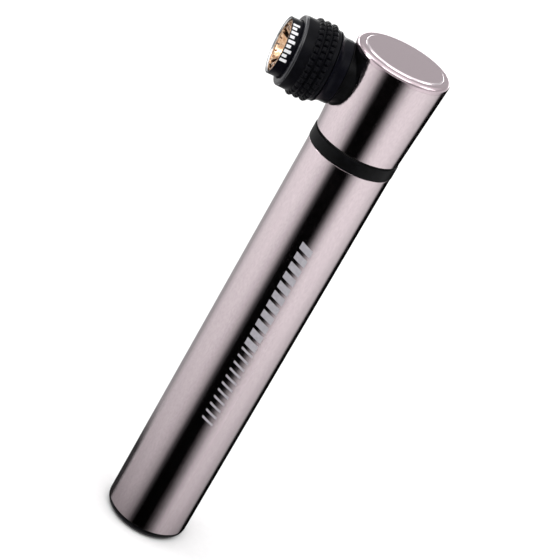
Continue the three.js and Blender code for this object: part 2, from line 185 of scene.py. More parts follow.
ANODISED = finish("anodised_aluminium", (0.59, 0.50, 0.53), (0.68, 0.585, 0.61), (0.11, 0.15),
                  metallic=1.0, stretch=(1, 1, 3), patches=2.6, grain=9.0, bump=0.03, depth=0.01)
ANODISED_TURNED = finish("anodised_turned", (0.575, 0.47, 0.51), (0.65, 0.535, 0.575), (0.12, 0.17),
                         metallic=1.0, patches=2.6, grain=9.0, bump=0.03, depth=0.01)
POLISHED = finish("polished_edge", (0.80, 0.71, 0.75), (0.86, 0.77, 0.81), (0.12, 0.16),
                  metallic=1.0, patches=0.3, grain=9.0, bump=0.02, depth=0.01)
PLAIN_ALLOY = finish("plain_aluminium", (0.74, 0.75, 0.76), (0.82, 0.83, 0.84), (0.16, 0.24),
                     metallic=1.0, stretch=(1, 1, 30), patches=0.2, grain=6.0, bump=0.04, depth=0.01)
BLACK_ALLOY = finish("black_aluminium", (0.002, 0.002, 0.004), (0.004, 0.004, 0.007), (0.26, 0.34),
                     specular=0.05, patches=0.5, grain=9.0, bump=0.06, depth=0.01)
BLACK_PLASTIC = finish("black_plastic", (0.002, 0.002, 0.002), (0.004, 0.004, 0.005), (0.30, 0.40),
                       specular=0.07, patches=0.6, grain=8.0, bump=0.08, depth=0.01)
SLEEVE_RUBBER = finish("sleeve_rubber", (0.002, 0.002, 0.003), (0.004, 0.004, 0.006), (0.30, 0.40),
                       specular=0.06, patches=0.8, grain=8.0, bump=0.12, depth=0.02)
SLEEVE_LIP = finish("sleeve_lip", (0.006, 0.006, 0.009), (0.012, 0.012, 0.017), (0.22, 0.30),
                    specular=0.6, patches=0.8, grain=8.0, bump=0.05, depth=0.01)
SEAL_RUBBER = finish("seal_rubber", (0.006, 0.006, 0.006), (0.012, 0.012, 0.012), (0.55, 0.75),
                     specular=0.2, patches=1.2, grain=8.0, bump=0.3, depth=0.02)
NYLON = finish("nylon", (0.74, 0.71, 0.63), (0.82, 0.80, 0.73), (0.4, 0.55),
               patches=0.8, grain=8.0, bump=0.1, depth=0.02)
BRASS = finish("brass", (0.50, 0.27, 0.14), (0.80, 0.56, 0.38), (0.16, 0.28),
               metallic=1.0, patches=1.0, grain=6.0, bump=0.12, depth=0.02)
STEEL = finish("steel", (0.50, 0.51, 0.53), (0.64, 0.65, 0.67), (0.2, 0.32),
               metallic=1.0, stretch=(1, 1, 15), patches=0.5, grain=4.0, bump=0.08, depth=0.01)
TUBE_PRINT = finish("tube_print", (0.42, 0.40, 0.44), (0.52, 0.50, 0.54), (0.45, 0.6),
                    metallic=0.3, patches=1.5, grain=9.0, bump=0.1, depth=0.01)
COLLAR_PRINT = finish("collar_print", (0.80, 0.79, 0.81), (0.92, 0.92, 0.94), (0.5, 0.65),
                      patches=2.0, grain=9.0, bump=0.1, depth=0.01)

SLOT_MATERIALS = {
    "anodised_aluminium": ANODISED,
    "plain_aluminium": PLAIN_ALLOY,
    "black_aluminium": BLACK_ALLOY,
    "black_plastic": BLACK_PLASTIC,
    "sleeve_rubber": SLEEVE_RUBBER,
    "seal_rubber": SEAL_RUBBER,
    "nylon": NYLON,
    "brass": BRASS,
    "steel": STEEL,
}


# ---------------------------------------------------------------- mesh making

CHUCK_AXIS = Matrix.Translation((0, 0, CHUCK_HEIGHT)) @ Matrix.Rotation(math.radians(-90), 4, "Y")
UPRIGHT = Matrix.Scale(MM, 4)
ALONG_CHUCK = UPRIGHT @ CHUCK_AXIS


def arc(centre_radius, centre_height, size, start, stop, steps=10):
    """Corners along an arc, from start to stop degrees."""
    angles = [math.radians(start + (stop - start) * i / steps) for i in range(steps + 1)]
    return [(centre_radius + size * math.cos(a), centre_height + size * math.sin(a)) for a in angles]


def curve(start, pull, stop, steps=10):
    """Corners along a bend from start to stop that leans towards pull."""
    start, pull, stop = Vector(start), Vector(pull), Vector(stop)
    places = [i / steps for i in range(steps + 1)]
    return [tuple(start * (1 - t) ** 2 + pull * 2 * t * (1 - t) + stop * t * t) for t in places]


def rounded(corners, steps=4):
    """The outline with each corner's rounding, its third number, worked in."""
    points = [Vector(c[:2]) for c in corners]
    outline = []
    for i, corner in enumerate(corners):
        reach = corner[2] if len(corner) > 2 else 0
        if not reach:
            outline.append(tuple(points[i]))
            continue
        before, after = points[i - 1], points[(i + 1) % len(points)]
        start = points[i] + (before - points[i]).normalized() * reach
        stop = points[i] + (after - points[i]).normalized() * reach
        outline += curve(start, points[i], stop, steps)
    return outline


def held(outline):
    """The outline with a point near each end of its long stretches, which keeps them flat in the
    light although the corners beside them are smooth."""
    points = [Vector(point) for point in outline]
    closer = []
    for here, ahead in zip(points, points[1:] + points[:1]):
        closer.append(tuple(here))
        length = (ahead - here).length
        if length > 0.6:
            reach = min(0.3, length / 5) / length
            closer += [tuple(here.lerp(ahead, reach)), tuple(here.lerp(ahead, 1 - reach))]
    return closer


def spun_mesh(name, corners, segments, start=0.0, stop=360.0):
    """A closed mesh: the outline turned about local Z, all the way or from start to stop degrees.
    An outline that starts on the axis also ends on it, and is left open there."""
    outline = held(rounded(corners))
    open_ended = outline[0][0] < ON_AXIS
    if open_ended:
        del outline[-2:]  # the two points that held() puts on the axis itself
    whole = stop - start >= 360
    columns = segments if whole else segments + 1
    bm = bmesh.new()
    rings = []
    for r, h in outline:
        if r < ON_AXIS:
            rings.append([bm.verts.new((0, 0, h))] * columns)
            continue
        angles = [math.radians(start + (stop - start) * i / segments) for i in range(columns)]
        rings.append([bm.verts.new((r * math.cos(a), r * math.sin(a), h)) for a in angles])
    pairs = list(zip(rings, rings[1:])) if open_ended else list(zip(rings, rings[1:] + rings[:1]))
    for low, high in pairs:
        for i in range(columns if whole else columns - 1):
            j = (i + 1) % columns
            corners_of_face = list(dict.fromkeys([low[i], low[j], high[j], high[i]]))
            if len(corners_of_face) > 2:
                bm.faces.new(corners_of_face)
    if not whole:
        bm.faces.new([ring[0] for ring in rings])
        bm.faces.new([ring[-1] for ring in rings])
    return to_mesh(bm, name)


def to_mesh(bm, name):
    bmesh.ops.recalc_face_normals(bm, faces=bm.faces)
    mesh = bpy.data.meshes.new(name)
    bm.to_mesh(mesh)
    bm.free()
    return mesh


def smooth(mesh, angle=32):
    mesh.shade_smooth()
    mesh.set_sharp_from_angle(angle=math.radians(angle))


def piece(name, mesh, material, body, nodes=(), place=UPRIGHT, angle=32):
    """Puts a mesh in the scene, in the frame, riding on a body and standing for CAD nodes."""
    mesh.transform(place)
    smooth(mesh, angle)
    mesh.materials.append(material)
    made = bpy.data.objects.new(name, mesh)
    bpy.context.scene.collection.objects.link(made)
    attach(made, body)
    if nodes:
        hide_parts(*nodes)
    return made


def combined(name, mesh, others, operation):
    """mesh joined with, or cut by, each of the others in turn."""
    scene = bpy.context.scene
    base = bpy.data.objects.new(name, mesh)
    scene.collection.objects.link(base)
    tools = []
    for other in others:
        tool = bpy.data.objects.new(name + "_tool", other)
        scene.collection.objects.link(tool)
        tools.append(tool)
        modifier = base.modifiers.new("join", "BOOLEAN")
        modifier.object = tool
        modifier.operation = operation
        modifier.solver = "EXACT"
    graph = bpy.context.evaluated_depsgraph_get()
    result = bpy.data.meshes.new_from_object(base.evaluated_get(graph))
    for made in [base, *tools]:
        bpy.data.objects.remove(made)
    return result


def turned(name, corners, material, body, nodes=(), place=UPRIGHT, segments=FINE):
    return piece(name, spun_mesh(name, corners, segments), material, body, nodes, place)


def window_prism(half_width, high, near, far):
    """The U of the head's window, drawn out along the chuck, from near to far off the tube's axis."""
    steps = 48
    outline = [(half_width, high), (-half_width, high)]
    for i in range(steps + 1):
        a = math.pi + math.pi * i / steps
        outline.append((half_width * math.cos(a), WINDOW_HEIGHT + half_width * math.sin(a)))
    bm = bmesh.new()
    inner = [bm.verts.new((-near, y, z)) for y, z in outline]
    outer = [bm.verts.new((-far, y, z)) for y, z in outline]
    bm.faces.new(inner)
    bm.faces.new(outer)
    for i in range(len(outline)):
        j = (i + 1) % len(outline)
        bm.faces.new([inner[i], inner[j], outer[j], outer[i]])
    return to_mesh(bm, "window")


# ---------------------------------------------------------------- handle

def handle_tube():
    low, high, r = bottom("handle_tube"), top("handle_tube"), radius("handle_tube")
    bore = r - TUBE_WALL
    corners = [
        (bore, low, 0.1),
        (r, low, 0.12),
        (r, high, 0.12),
        (bore, high, 0.1),
    ]
    turned("handle_tube_fine", corners, ANODISED, "handle", ["handle_tube"],
           segments=SMOOTH_SEGMENTS)


def end_cap():
    r = radius("handle_tube")
    rim = bottom("handle_tube") - 0.05
    corners = [
        (0, 0),
        (6.2, 0, 0.15),
        (6.5, 0.35, 0.15),
        (7.5, 0.35, 0.15),
        (7.8, 0, 0.15),
        *arc(r - BASE_FILLET, BASE_FILLET, BASE_FILLET, -90, 0),
        (r, rim, 0.05),
        (11.9, rim, 0.1),
        (11.9, top("end_cap"), 0.3),
        (10.5, top("end_cap"), 0.3),
        (10.5, 2.2, 0.4),
        (6.5, 2.2, 0.4),
        (6.5, 10, 0.3),
        (3.6, 10, 0.2),
        (3.6, 2.2),
        (0, 2.2),
    ]
    turned("end_cap_fine", corners, BLACK_PLASTIC, "handle", ["end_cap"])


def guide_ring():
    low, high, r = bottom("guide_ring"), top("guide_ring"), radius("guide_ring")
    shelf = top("handle_tube") + 0.1
    corners = [
        (10.25, low, 0.4),
        (11.9, low, 0.3),
        (11.9, shelf),
        (r, shelf, 0.2),
        (r, high, 0.25),
        (10.25, high, 0.2),
        (10.25, 138.7),
        (11.2, 138.7),
        (11.2, 136.9),
        (10.25, 136.9),
    ]
    turned("guide_ring_fine", corners, BLACK_PLASTIC, "handle", ["guide_ring"])


def head_bumper():
    low, high, r = bottom("head_bumper"), top("head_bumper"), radius("head_bumper")
    corners = [(10.5, low, 0.1), (r, low, 0.12), (r, high, 0.12), (10.5, high, 0.1)]
    turned("head_bumper_fine", corners, SEAL_RUBBER, "handle", ["head_bumper"])


def printed_patch(bm, r, corners):
    """A thin printed patch that lies on a cylinder. corners are (degrees, height) in order."""
    across = 6
    (a0, h0), (a1, h1), (a2, h2), (a3, h3) = corners
    grid = []
    for lift in (PRINT_LIFT, PRINT_LIFT + PRINT_THICKNESS):
        for i in range(across + 1):
            t = i / across
            for a, h in ((a0 + (a1 - a0) * t, h0 + (h1 - h0) * t),
                         (a3 + (a2 - a3) * t, h3 + (h2 - h3) * t)):
                spot = Vector(((r + lift) * math.cos(math.radians(a)),
                               (r + lift) * math.sin(math.radians(a)), h))
                grid.append(bm.verts.new(spot))
    layer = 2 * (across + 1)
    for i in range(across):
        a, b = 2 * i, 2 * i + 2
        bm.faces.new([grid[a], grid[a + 1], grid[b + 1], grid[b]])
        bm.faces.new([grid[layer + a], grid[layer + b], grid[layer + b + 1], grid[layer + a + 1]])
        bm.faces.new([grid[a], grid[b], grid[layer + b], grid[layer + a]])
        bm.faces.new([grid[a + 1], grid[layer + a + 1], grid[layer + b + 1], grid[b + 1]])
    last = 2 * across
    bm.faces.new([grid[0], grid[layer], grid[layer + 1], grid[1]])
    bm.faces.new([grid[last], grid[last + 1], grid[layer + last + 1], grid[layer + last]])


def tube_print():
    """A row of slanted bars down the tube, heavy above and light below: plain decoration."""
    r = radius("handle_tube")
    half_span = 9
    left, right = -90 + PRINT_AZIMUTH - half_span, -90 + PRINT_AZIMUTH + half_span
    slant = 1.6
    bars_each = 11
    heavy, light = (2.3, 1.15), (0.75, 1.85)
    bm = bmesh.new()
    height = 111.0
    for width, gap in (heavy, light):
        for _ in range(bars_each):
            corners = [(left, height), (right, height - slant),
                       (right, height - slant - width), (left, height - width)]
            printed_patch(bm, r, corners)
            height -= width + gap
    piece("tube_print", to_mesh(bm, "tube_print"), TUBE_PRINT, "handle")


# ---------------------------------------------------------------- barrel and head

def barrel_tube():
    low, high, r = bottom("barrel_tube"), top("barrel_tube"), radius("barrel_tube")
    corners = [(r - 1, low, 0.1), (r, low, 0.15), (r, high, 0.15), (r - 1, high, 0.1)]
    turned("barrel_tube_fine", corners, PLAIN_ALLOY, "barrel_and_head",
           ["barrel_tube"])


def set_cone_normals(mesh):
    """Gives the faces on the head's outer cone the cone's own normals, however they were cut."""
    normals = [Vector(n.vector) for n in mesh.corner_normals]
    for polygon in mesh.polygons:
        corners = [mesh.vertices[v].co / MM for v in polygon.vertices]
        if all(abs(math.hypot(c.x, c.y) - head_radius(c.z)) < 0.02 for c in corners):
            for loop in polygon.loop_indices:
                c = mesh.vertices[mesh.loops[loop].vertex_index].co
                normals[loop] = Vector((c.x, c.y, -HEAD_SLOPE * math.hypot(c.x, c.y))).normalized()
    mesh.normals_split_custom_set(normals)


def head_shell():
    low, high = bottom("head_shell"), top("head_shell")
    corners = [
        (10.3, low, 0.15),
        (head_radius(low), low, 0.18),
        (head_radius(high), high, 0.02),
        (11.6, high, 0.1),
        (11.6, 145.4),
        (10.3, 145.4),
    ]
    shell = spun_mesh("head_shell_fine", corners, SMOOTH_SEGMENTS)
    window = window_prism(WINDOW_RADIUS, high + 3, 5, 20)
    made = piece("head_shell_fine", combined("head_shell_fine", shell, [window], "DIFFERENCE"),
                 ANODISED, "barrel_and_head", ["head_shell"])
    set_cone_normals(made.data)


def head_core():
    low, high = bottom("head_core"), top("head_core")
    wall = 10.7
    core_top = high - 1.4
    core_radius = 11.4
    socket_radius, socket_roof = 10.1, 150.4
    screw_radius, screw_floor = 2.05, 159.6
    body = spun_mesh("head_core_fine", [
        (0, CHAMBER_ROOF),
        (CHAMBER_RADIUS, CHAMBER_ROOF),
        (CHAMBER_RADIUS, socket_roof),
        (socket_radius, socket_roof),
        (socket_radius, low),
        (core_radius, low, 0.1),
        (core_radius, core_top),
        (screw_radius, core_top),
        (screw_radius, screw_floor),
        (0, screw_floor),
    ], MEDIUM)
    inset = 0.06
    cone_foot = 142
    cone = spun_mesh("cone", [
        (0, cone_foot),
        (head_radius(cone_foot) - inset, cone_foot),
        (head_radius(high) - inset, high),
        (0, high),
    ], FINE)
    block = combined("block", window_prism(WINDOW_RADIUS - 0.12, high + 1, wall, 16), [cone],
                     "INTERSECT")
    boss_radius = 8.45
    boss_rim = HEAD_TOP_RADIUS + 0.05
    boss_end = 14.6
    shoulder = NECK_RADIUS - 0.15
    nipple_radius = 5.5
    boss = spun_mesh("boss", [
        (0, wall),
        (boss_radius, wall),
        (boss_radius, boss_rim),
        (shoulder, boss_rim),
        (shoulder, boss_end),
        (nipple_radius, boss_end),
        (nipple_radius, front("head_core"), 0.4),
        (0, front("head_core")),
    ], MEDIUM)
    boss.transform(CHUCK_AXIS)
    lid_room = spun_mesh("lid_room", [(0, core_top), (11.6, core_top), (11.6, 175), (0, 175)], MEDIUM)
    air_hole = spun_mesh("air_hole", [(0, 2), (1.5, 2), (1.5, 25), (0, 25)], 32)
    air_hole.transform(CHUCK_AXIS)
    solid = combined("head_core_fine", body, [block, boss], "UNION")
    solid = combined("head_core_fine", solid, [lid_room, air_hole], "DIFFERENCE")
    piece("head_core_fine", solid, BLACK_PLASTIC, "barrel_and_head", ["head_core"])


def top_cap():
    low, high = bottom("top_cap"), top("top_cap")
    lid = HEAD_TOP + 0.02
    edge = radius("top_cap")
    recess = radius("top_disc") + 0.03
    corners = [
        (2.2, low),
        (11.3, low, 0.2),
        (11.3, lid),
        (HEAD_TOP_RADIUS, lid, 0.02),
        *arc(edge - LID_FILLET, high - LID_FILLET, LID_FILLET, 0, 90),
        (recess, high, 0.04),
        (recess, 167.1),
        (3.9, 167.1),
        (3.9, 165.6),
        (2.2, 165.6),
    ]
    turned("top_cap_fine", corners, ANODISED_TURNED, "barrel_and_head",
           ["top_cap"], segments=SMOOTH_SEGMENTS)


def top_disc():
    """A flat disc that stands a little proud of the lid, and its polished edge."""
    low, high, r = bottom("top_disc"), top("top_disc"), radius("top_disc")
    flat = r - DISC_EDGE
    disc = [(0, low), (flat - 0.01, low), (flat - 0.01, high), (0, high)]
    turned("top_disc_fine", disc, ANODISED_TURNED, "barrel_and_head",
           ["top_disc"], segments=SMOOTH_SEGMENTS)
    edge = [
        (flat, low),
        (r, low),
        *curve((r, high - 0.5), (r - 0.17, high - 0.12), (flat, high)),
    ]
    turned("top_disc_edge", edge, POLISHED, "barrel_and_head",
           segments=SMOOTH_SEGMENTS)


# ---------------------------------------------------------------- chuck

def chuck_body():
    start = rear("chuck_body")
    rim = radius("chuck_body")
    step = 18.8
    corners = [
        (5.6, start, 0.2),
        (NECK_RADIUS, start, 0.04),
        *curve((NECK_RADIUS, 16.6), (NECK_RADIUS, 17.6), (rim, 18.6), 12),
        (rim, step, 0.08),
        (8.5, step),
        (8.5, 20.4, 0.1),
        (7.6, 20.4),
        (7.6, 21.8),
        (8.5, 21.8, 0.1),
        (8.5, 22.9, 0.2),
        (7.3, 22.9),
        (7.3, front("chuck_body"), 0.2),
        (6.3, front("chuck_body")),
        (6.3, 21.7),
        (1.7, 21.7),
        (1.7, 20.75),
        (5.6, 20.75),
    ]
    turned("chuck_body_fine", corners, BLACK_ALLOY, "chuck", ["chuck_body"],
           ALONG_CHUCK)


def bead_height(place, angle):
    """How far the grip stands out at a place along the chuck: three rings of long beads, with each
    ring's beads over the gaps of the next."""
    height = 0.0
    for row, middle in enumerate(RIDGE_PLACES):
        reach = abs(place - middle) / BEAD_HALF_LENGTH
        if reach < 1:
            gap = math.cos(BEAD_COUNT / 2 * angle + math.pi / 2 * row) ** 12
            height = math.sqrt(math.cos(math.pi / 2 * reach)) * (1 - 0.75 * gap)
    return height


def sleeve():
    """The gripping sleeve, with its rings of beads, and the smooth lip on its front."""
    start, stop = rear("sleeve"), front("sleeve")
    crest = radius("sleeve")
    body = 10.5
    bore, pocket = 8.75, 9.3
    seat = stop - 0.9
    around = BEAD_COUNT * 12
    step = 0.08
    grip_start, grip_stop = 20.0, 26.2
    outside = [(body - 0.35, start), (body - 0.12, start + 0.1), (body, start + 0.6)]
    grip = [(body, grip_start + i * step) for i in range(int((grip_stop - grip_start) / step) + 1)]
    front_edge = [(body + 0.01, grip_stop + 0.2), (body - 0.03, stop - 1.0), (body - 0.12, seat)]
    inside = [(8.6, seat), (8.6, 29.25), (pocket, 29.25), (pocket, 27.7), (bore, 25.0),
              (bore, start + 0.15), (8.9, start)]
    outline = outside + grip + front_edge + inside
    bm = bmesh.new()
    rings = []
    for r, h in outline:
        ring = []
        for i in range(around):
            a = 2 * math.pi * i / around
            out = r + (crest - body) * bead_height(h, a) if r == body else r
            ring.append(bm.verts.new((out * math.cos(a), out * math.sin(a), h)))
        rings.append(ring)
    for low, high in zip(rings, rings[1:] + rings[:1]):
        for i in range(around):
            j = (i + 1) % around
            bm.faces.new([low[i], low[j], high[j], high[i]])
    piece("sleeve_fine", to_mesh(bm, "sleeve_fine"), SLEEVE_RUBBER, "sliding_sleeve",
          ["sleeve"], ALONG_CHUCK, angle=50)
    lip = [
        (8.7, seat + 0.03),
        (10.36, seat + 0.03),
        *curve((10.45, stop - 0.62), (10.32, stop - 0.08), (9.75, stop)),
        (8.7, stop, 0.1),
    ]
    turned("sleeve_lip", lip, SLEEVE_LIP, "sliding_sleeve", place=ALONG_CHUCK)


def box_mesh(size, centre):
    bm = bmesh.new()
    bmesh.ops.create_cube(bm, size=1)
    place = Matrix.Translation(centre) @ Matrix.Diagonal((*size, 1))
    bmesh.ops.transform(bm, matrix=place, verts=bm.verts)
    return to_mesh(bm, "box")


def turned_by(mesh, degrees):
    mesh.transform(Matrix.Rotation(math.radians(degrees), 4, "Z"))
    return mesh


def collar():
    start, stop, r = rear("collar"), front("collar"), radius("collar")
    corners = [
        (7.4, start, 0.2),
        (r, start, 0.2),
        (r, stop, 0.1),
        (MOUTH_RIM, stop, 0.02),
        (MOUTH_RIM, stop - MOUTH_RING_DEPTH),
        (MOUTH_RADIUS, stop - MOUTH_RING_DEPTH),
        (MOUTH_RADIUS, 31.0),
        (6.6, 31.0),
        (6.6, 26.75),
        (7.4, 26.75),
    ]
    slots = [turned_by(box_mesh((5, 3.0, 1.6), (7.5, 0, LUG_HEIGHT)), 120 * i) for i in range(3)]
    ring = spun_mesh("collar_fine", corners, FINE)
    piece("collar_fine", combined("collar_fine", ring, slots, "DIFFERENCE"), BLACK_ALLOY, "chuck",
          ["collar"], ALONG_CHUCK)


def mouth_ring():
    """The bright lining of the collar's mouth."""
    stop = front("collar") - 0.03
    rear_end = front("collar") - MOUTH_RING_DEPTH + 0.03
    rim = MOUTH_RIM - 0.01
    corners = [
        (rim, rear_end),
        (rim, stop),
        (rim - 0.03, stop),
        (MOUTH_RADIUS, stop - 0.35, 0.1),
        (MOUTH_RADIUS, rear_end),
    ]
    turned("mouth_ring", corners, PLAIN_ALLOY, "chuck", place=ALONG_CHUCK)


def collar_print():
    """White ticks round the collar, a long one after every short one: plain decoration."""
    r = radius("collar")
    high = front("collar") - 0.25
    ticks, first, spacing, half = 9, -19, 9.4, 3.0
    bm = bmesh.new()
    for i in range(ticks):
        left, right = first - i * spacing - half, first - i * spacing + half
        low = 30.85 if i % 2 == 0 else 31.5
        corners = [(left, low), (right, low), (right, high), (left, high)]
        printed_patch(bm, r, corners)
    piece("collar_print", to_mesh(bm, "collar_print"), COLLAR_PRINT, "chuck",
          place=ALONG_CHUCK)


def jaws():
    """Three jaws with toothed bores. Each has a notched head and a lug that the sleeve pushes."""
    inner, shank, head = 3.2, 5.95, 7.6
    start, stop = rear("jaw_1"), front("jaw_1")
    head_rear = 31.2
    funnel = 30.4
    half_angle = 48
    teeth = 4
    tooth = 0.4
    first_tooth = start + 0.2
    pitch = (funnel - first_tooth) / teeth
    bite = []
    for i in reversed(range(teeth)):
        root = first_tooth + i * pitch
        bite += [
            (inner, root + 0.8 * pitch),
            (inner + tooth, root + 0.5 * pitch),
            (inner, root + 0.2 * pitch),
        ]
    groove = stop - 0.45
    lip = stop - 0.05
    corners = [
        (shank, start, 0.1),
        (shank, head_rear),
        (head, head_rear, 0.1),
        (head, stop - 0.6, 0.1),
        (7.2, stop, 0.1),
        (6.9, stop, 0.05),
        (6.7, groove),
        (6.2, groove),
        (6.0, lip, 0.1),
        (5.4, lip, 0.15),
        (inner, funnel),
        *bite,
        (inner, start),
    ]
    for i, body in enumerate(("first_jaw", "second_jaw", "third_jaw")):
        solid = spun_mesh("jaw_fine", corners, 32, -half_angle, half_angle)
        lug = box_mesh((4.05, 2.4, 1.0), (7.025, 0, LUG_HEIGHT))
        notches = [turned_by(box_mesh((6, 0.5, 1.2), (7, 0, stop)), a) for a in (-32, -11, 11, 32)]
        solid = combined("jaw_fine", solid, [lug], "UNION")
        solid = turned_by(combined("jaw_fine", solid, notches, "DIFFERENCE"), 120 * i)
        piece(f"jaw_{i + 1}_fine", solid, BRASS, body, [f"jaw_{i + 1}"], ALONG_CHUCK)


def gland():
    start, stop, r = rear("gland"), front("gland"), radius("gland")
    corners = [(3.05, start, 0.1), (r, start, 0.3), (r, stop, 0.3), (3.7, stop, 0.2), (3.05, 25.4, 0.2)]
    turned("gland_fine", corners, SEAL_RUBBER, "chuck", ["gland"], ALONG_CHUCK, MEDIUM)


def gland_washer():
    start, stop, r = rear("gland_washer"), front("gland_washer"), radius("gland_washer")
    corners = [(3.3, start), (r, start, 0.08), (r, stop, 0.08), (3.3, stop, 0.1)]
    turned("gland_washer_fine", corners, BRASS, "chuck", ["gland_washer"], ALONG_CHUCK, MEDIUM)


def valve_spring():
    """The check valve's coil."""
    wire, coil, turns = 0.22, 1.6, 4
    low, high = bottom("valve_spring"), top("valve_spring")
    steps, sides = turns * 40, 12
    upward = Vector((0, 0, 1))
    bm = bmesh.new()
    rings = []
    for i in range(steps + 1):
        a = 2 * math.pi * turns * i / steps
        outward = Vector((math.cos(a), math.sin(a), 0))
        centre = outward * coil + upward * (low + wire + (high - low - 2 * wire) * i / steps)
        ring = []
        for k in range(sides):
            b = 2 * math.pi * k / sides
            ring.append(bm.verts.new(centre + (outward * math.cos(b) + upward * math.sin(b)) * wire))
        rings.append(ring)
    for near, far in zip(rings, rings[1:]):
        for k in range(sides):
            j = (k + 1) % sides
            bm.faces.new([near[k], near[j], far[j], far[k]])
    bm.faces.new(rings[0])
    bm.faces.new(rings[-1])
    made = piece("valve_spring_fine", to_mesh(bm, "valve_spring_fine"), STEEL, "barrel_and_head",
                 ["valve_spring"])
    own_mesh(made)


def repaint_carried_nodes():
    """Every CAD node gets the procedural material of its slot."""
    for entry in frame["record"]["subparts"]:
        node = frame["nodes"][entry["node"]]
        node.data.materials.clear()
        node.data.materials.append(SLOT_MATERIALS[entry["material_slot"]])


# ---------------------------------------------------------------- studio

CAMERA_AZIMUTH = -15.03
CAMERA_ELEVATION = 24.97
CAMERA_ROLL = 29.92
CAMERA_DISTANCE = 619.3
AIM = Vector((0.46, 0.55, 90.8))
LIGHTS_AIM = 90


def direction(azimuth, elevation):
    """The way from the pump towards azimuth, which is 0 at the front, and elevation, in degrees."""
    a, e = math.radians(azimuth), math.radians(elevation)
    return Vector((math.sin(a) * math.cos(e), -math.cos(a) * math.cos(e), math.sin(e)))


def camera():
    data = bpy.data.cameras.new("camera")
    data.lens = 137.4
    data.sensor_width = 36
    data.clip_start = 0.01
    data.clip_end = 50
    made = bpy.data.objects.new("camera", data)
    back = direction(CAMERA_AZIMUTH, CAMERA_ELEVATION)
    made.location = (AIM + back * CAMERA_DISTANCE) * MM
    made.rotation_mode = "QUATERNION"
    roll = Quaternion((0, 0, 1), math.radians(CAMERA_ROLL))
    made.rotation_quaternion = (-back).to_track_quat("-Z", "Y") @ roll
    bpy.context.scene.collection.objects.link(made)
    bpy.context.scene.camera = made


def floor():
    """Pale paper, 8 m across."""
    bm = bmesh.new()
    bmesh.ops.create_grid(bm, x_segments=8, y_segments=8, size=4.0)
    mesh = to_mesh(bm, "floor")
    mesh.transform(Matrix.Translation((0, 0, -0.02 * MM)))
    mesh.materials.append(finish("floor_paper", (0.87, 0.87, 0.87), (0.89, 0.89, 0.89), (0.88, 0.92),
                                 specular=0.05, patches=0.5, grain=3.0, bump=0.005, depth=0.002))
    made = bpy.data.objects.new("floor", mesh)
    bpy.context.scene.collection.objects.link(made)


def shade_ramp(tree, source, shades):
    """source, from 0 to 1, turned into a shade. shades is a list of (place, shade)."""
    ramp = add(tree, "ShaderNodeValToRGB")
    stops = ramp.color_ramp.elements
    while len(stops) < len(shades):
        stops.new(0.5)
    for stop, (place, shade) in zip(stops, shades):
        stop.position = place
        stop.color = (shade, shade, shade, 1)
    tree.links.new(source, ramp.inputs["Fac"])
    return ramp


def card_material(name, across, upwards, blend):
    """Black card that covers part of what's under it, by its U and its V: lists of (place, cover)."""
    material = bpy.data.materials.new(name)
    material.use_nodes = True
    tree = material.node_tree
    tree.nodes.remove(tree.nodes["Principled BSDF"])
    place = add(tree, "ShaderNodeTexCoord")
    split = add(tree, "ShaderNodeSeparateXYZ")
    clear = add(tree, "ShaderNodeBsdfTransparent")
    black = add(tree, "ShaderNodeBsdfDiffuse")
    black.inputs["Color"].default_value = (0, 0, 0, 1)
    cover = add(tree, "ShaderNodeMix", data_type="RGBA", blend_type=blend)
    cover.inputs["Factor"].default_value = 1
    mix = add(tree, "ShaderNodeMixShader")
    links = tree.links
    links.new(place.outputs["UV"], split.inputs["Vector"])
    by_place = shade_ramp(tree, split.outputs["X"], across)
    by_height = shade_ramp(tree, split.outputs["Y"], upwards)
    links.new(by_place.outputs["Color"], cover.inputs["A"])
    links.new(by_height.outputs["Color"], cover.inputs["B"])
    links.new(cover.outputs["Result"], mix.inputs["Fac"])
    links.new(clear.outputs["BSDF"], mix.inputs[1])
    links.new(black.outputs["BSDF"], mix.inputs[2])
    links.new(mix.outputs["Shader"], tree.nodes["Material Output"].inputs["Surface"])
    return material


def mirrored_spot(place, height, level):
    """Where a line of sight that the tube mirrors meets a level card. place runs from 0 to 1 across
    the tube as the photographer sees it, and height is the line's height on the tube."""
    turn = math.asin(0.999 * (2 * place - 1))
    elevation = math.radians(CAMERA_ELEVATION)
    travel = (height - level) / (AIM.z + CAMERA_DISTANCE * math.sin(elevation) - height)
    near = (1 - travel) * TUBE_RADIUS
    far = travel * CAMERA_DISTANCE * math.cos(elevation)
    return (near * math.cos(turn) + far * math.cos(2 * turn),
            near * math.sin(turn) + far * math.sin(2 * turn), level)


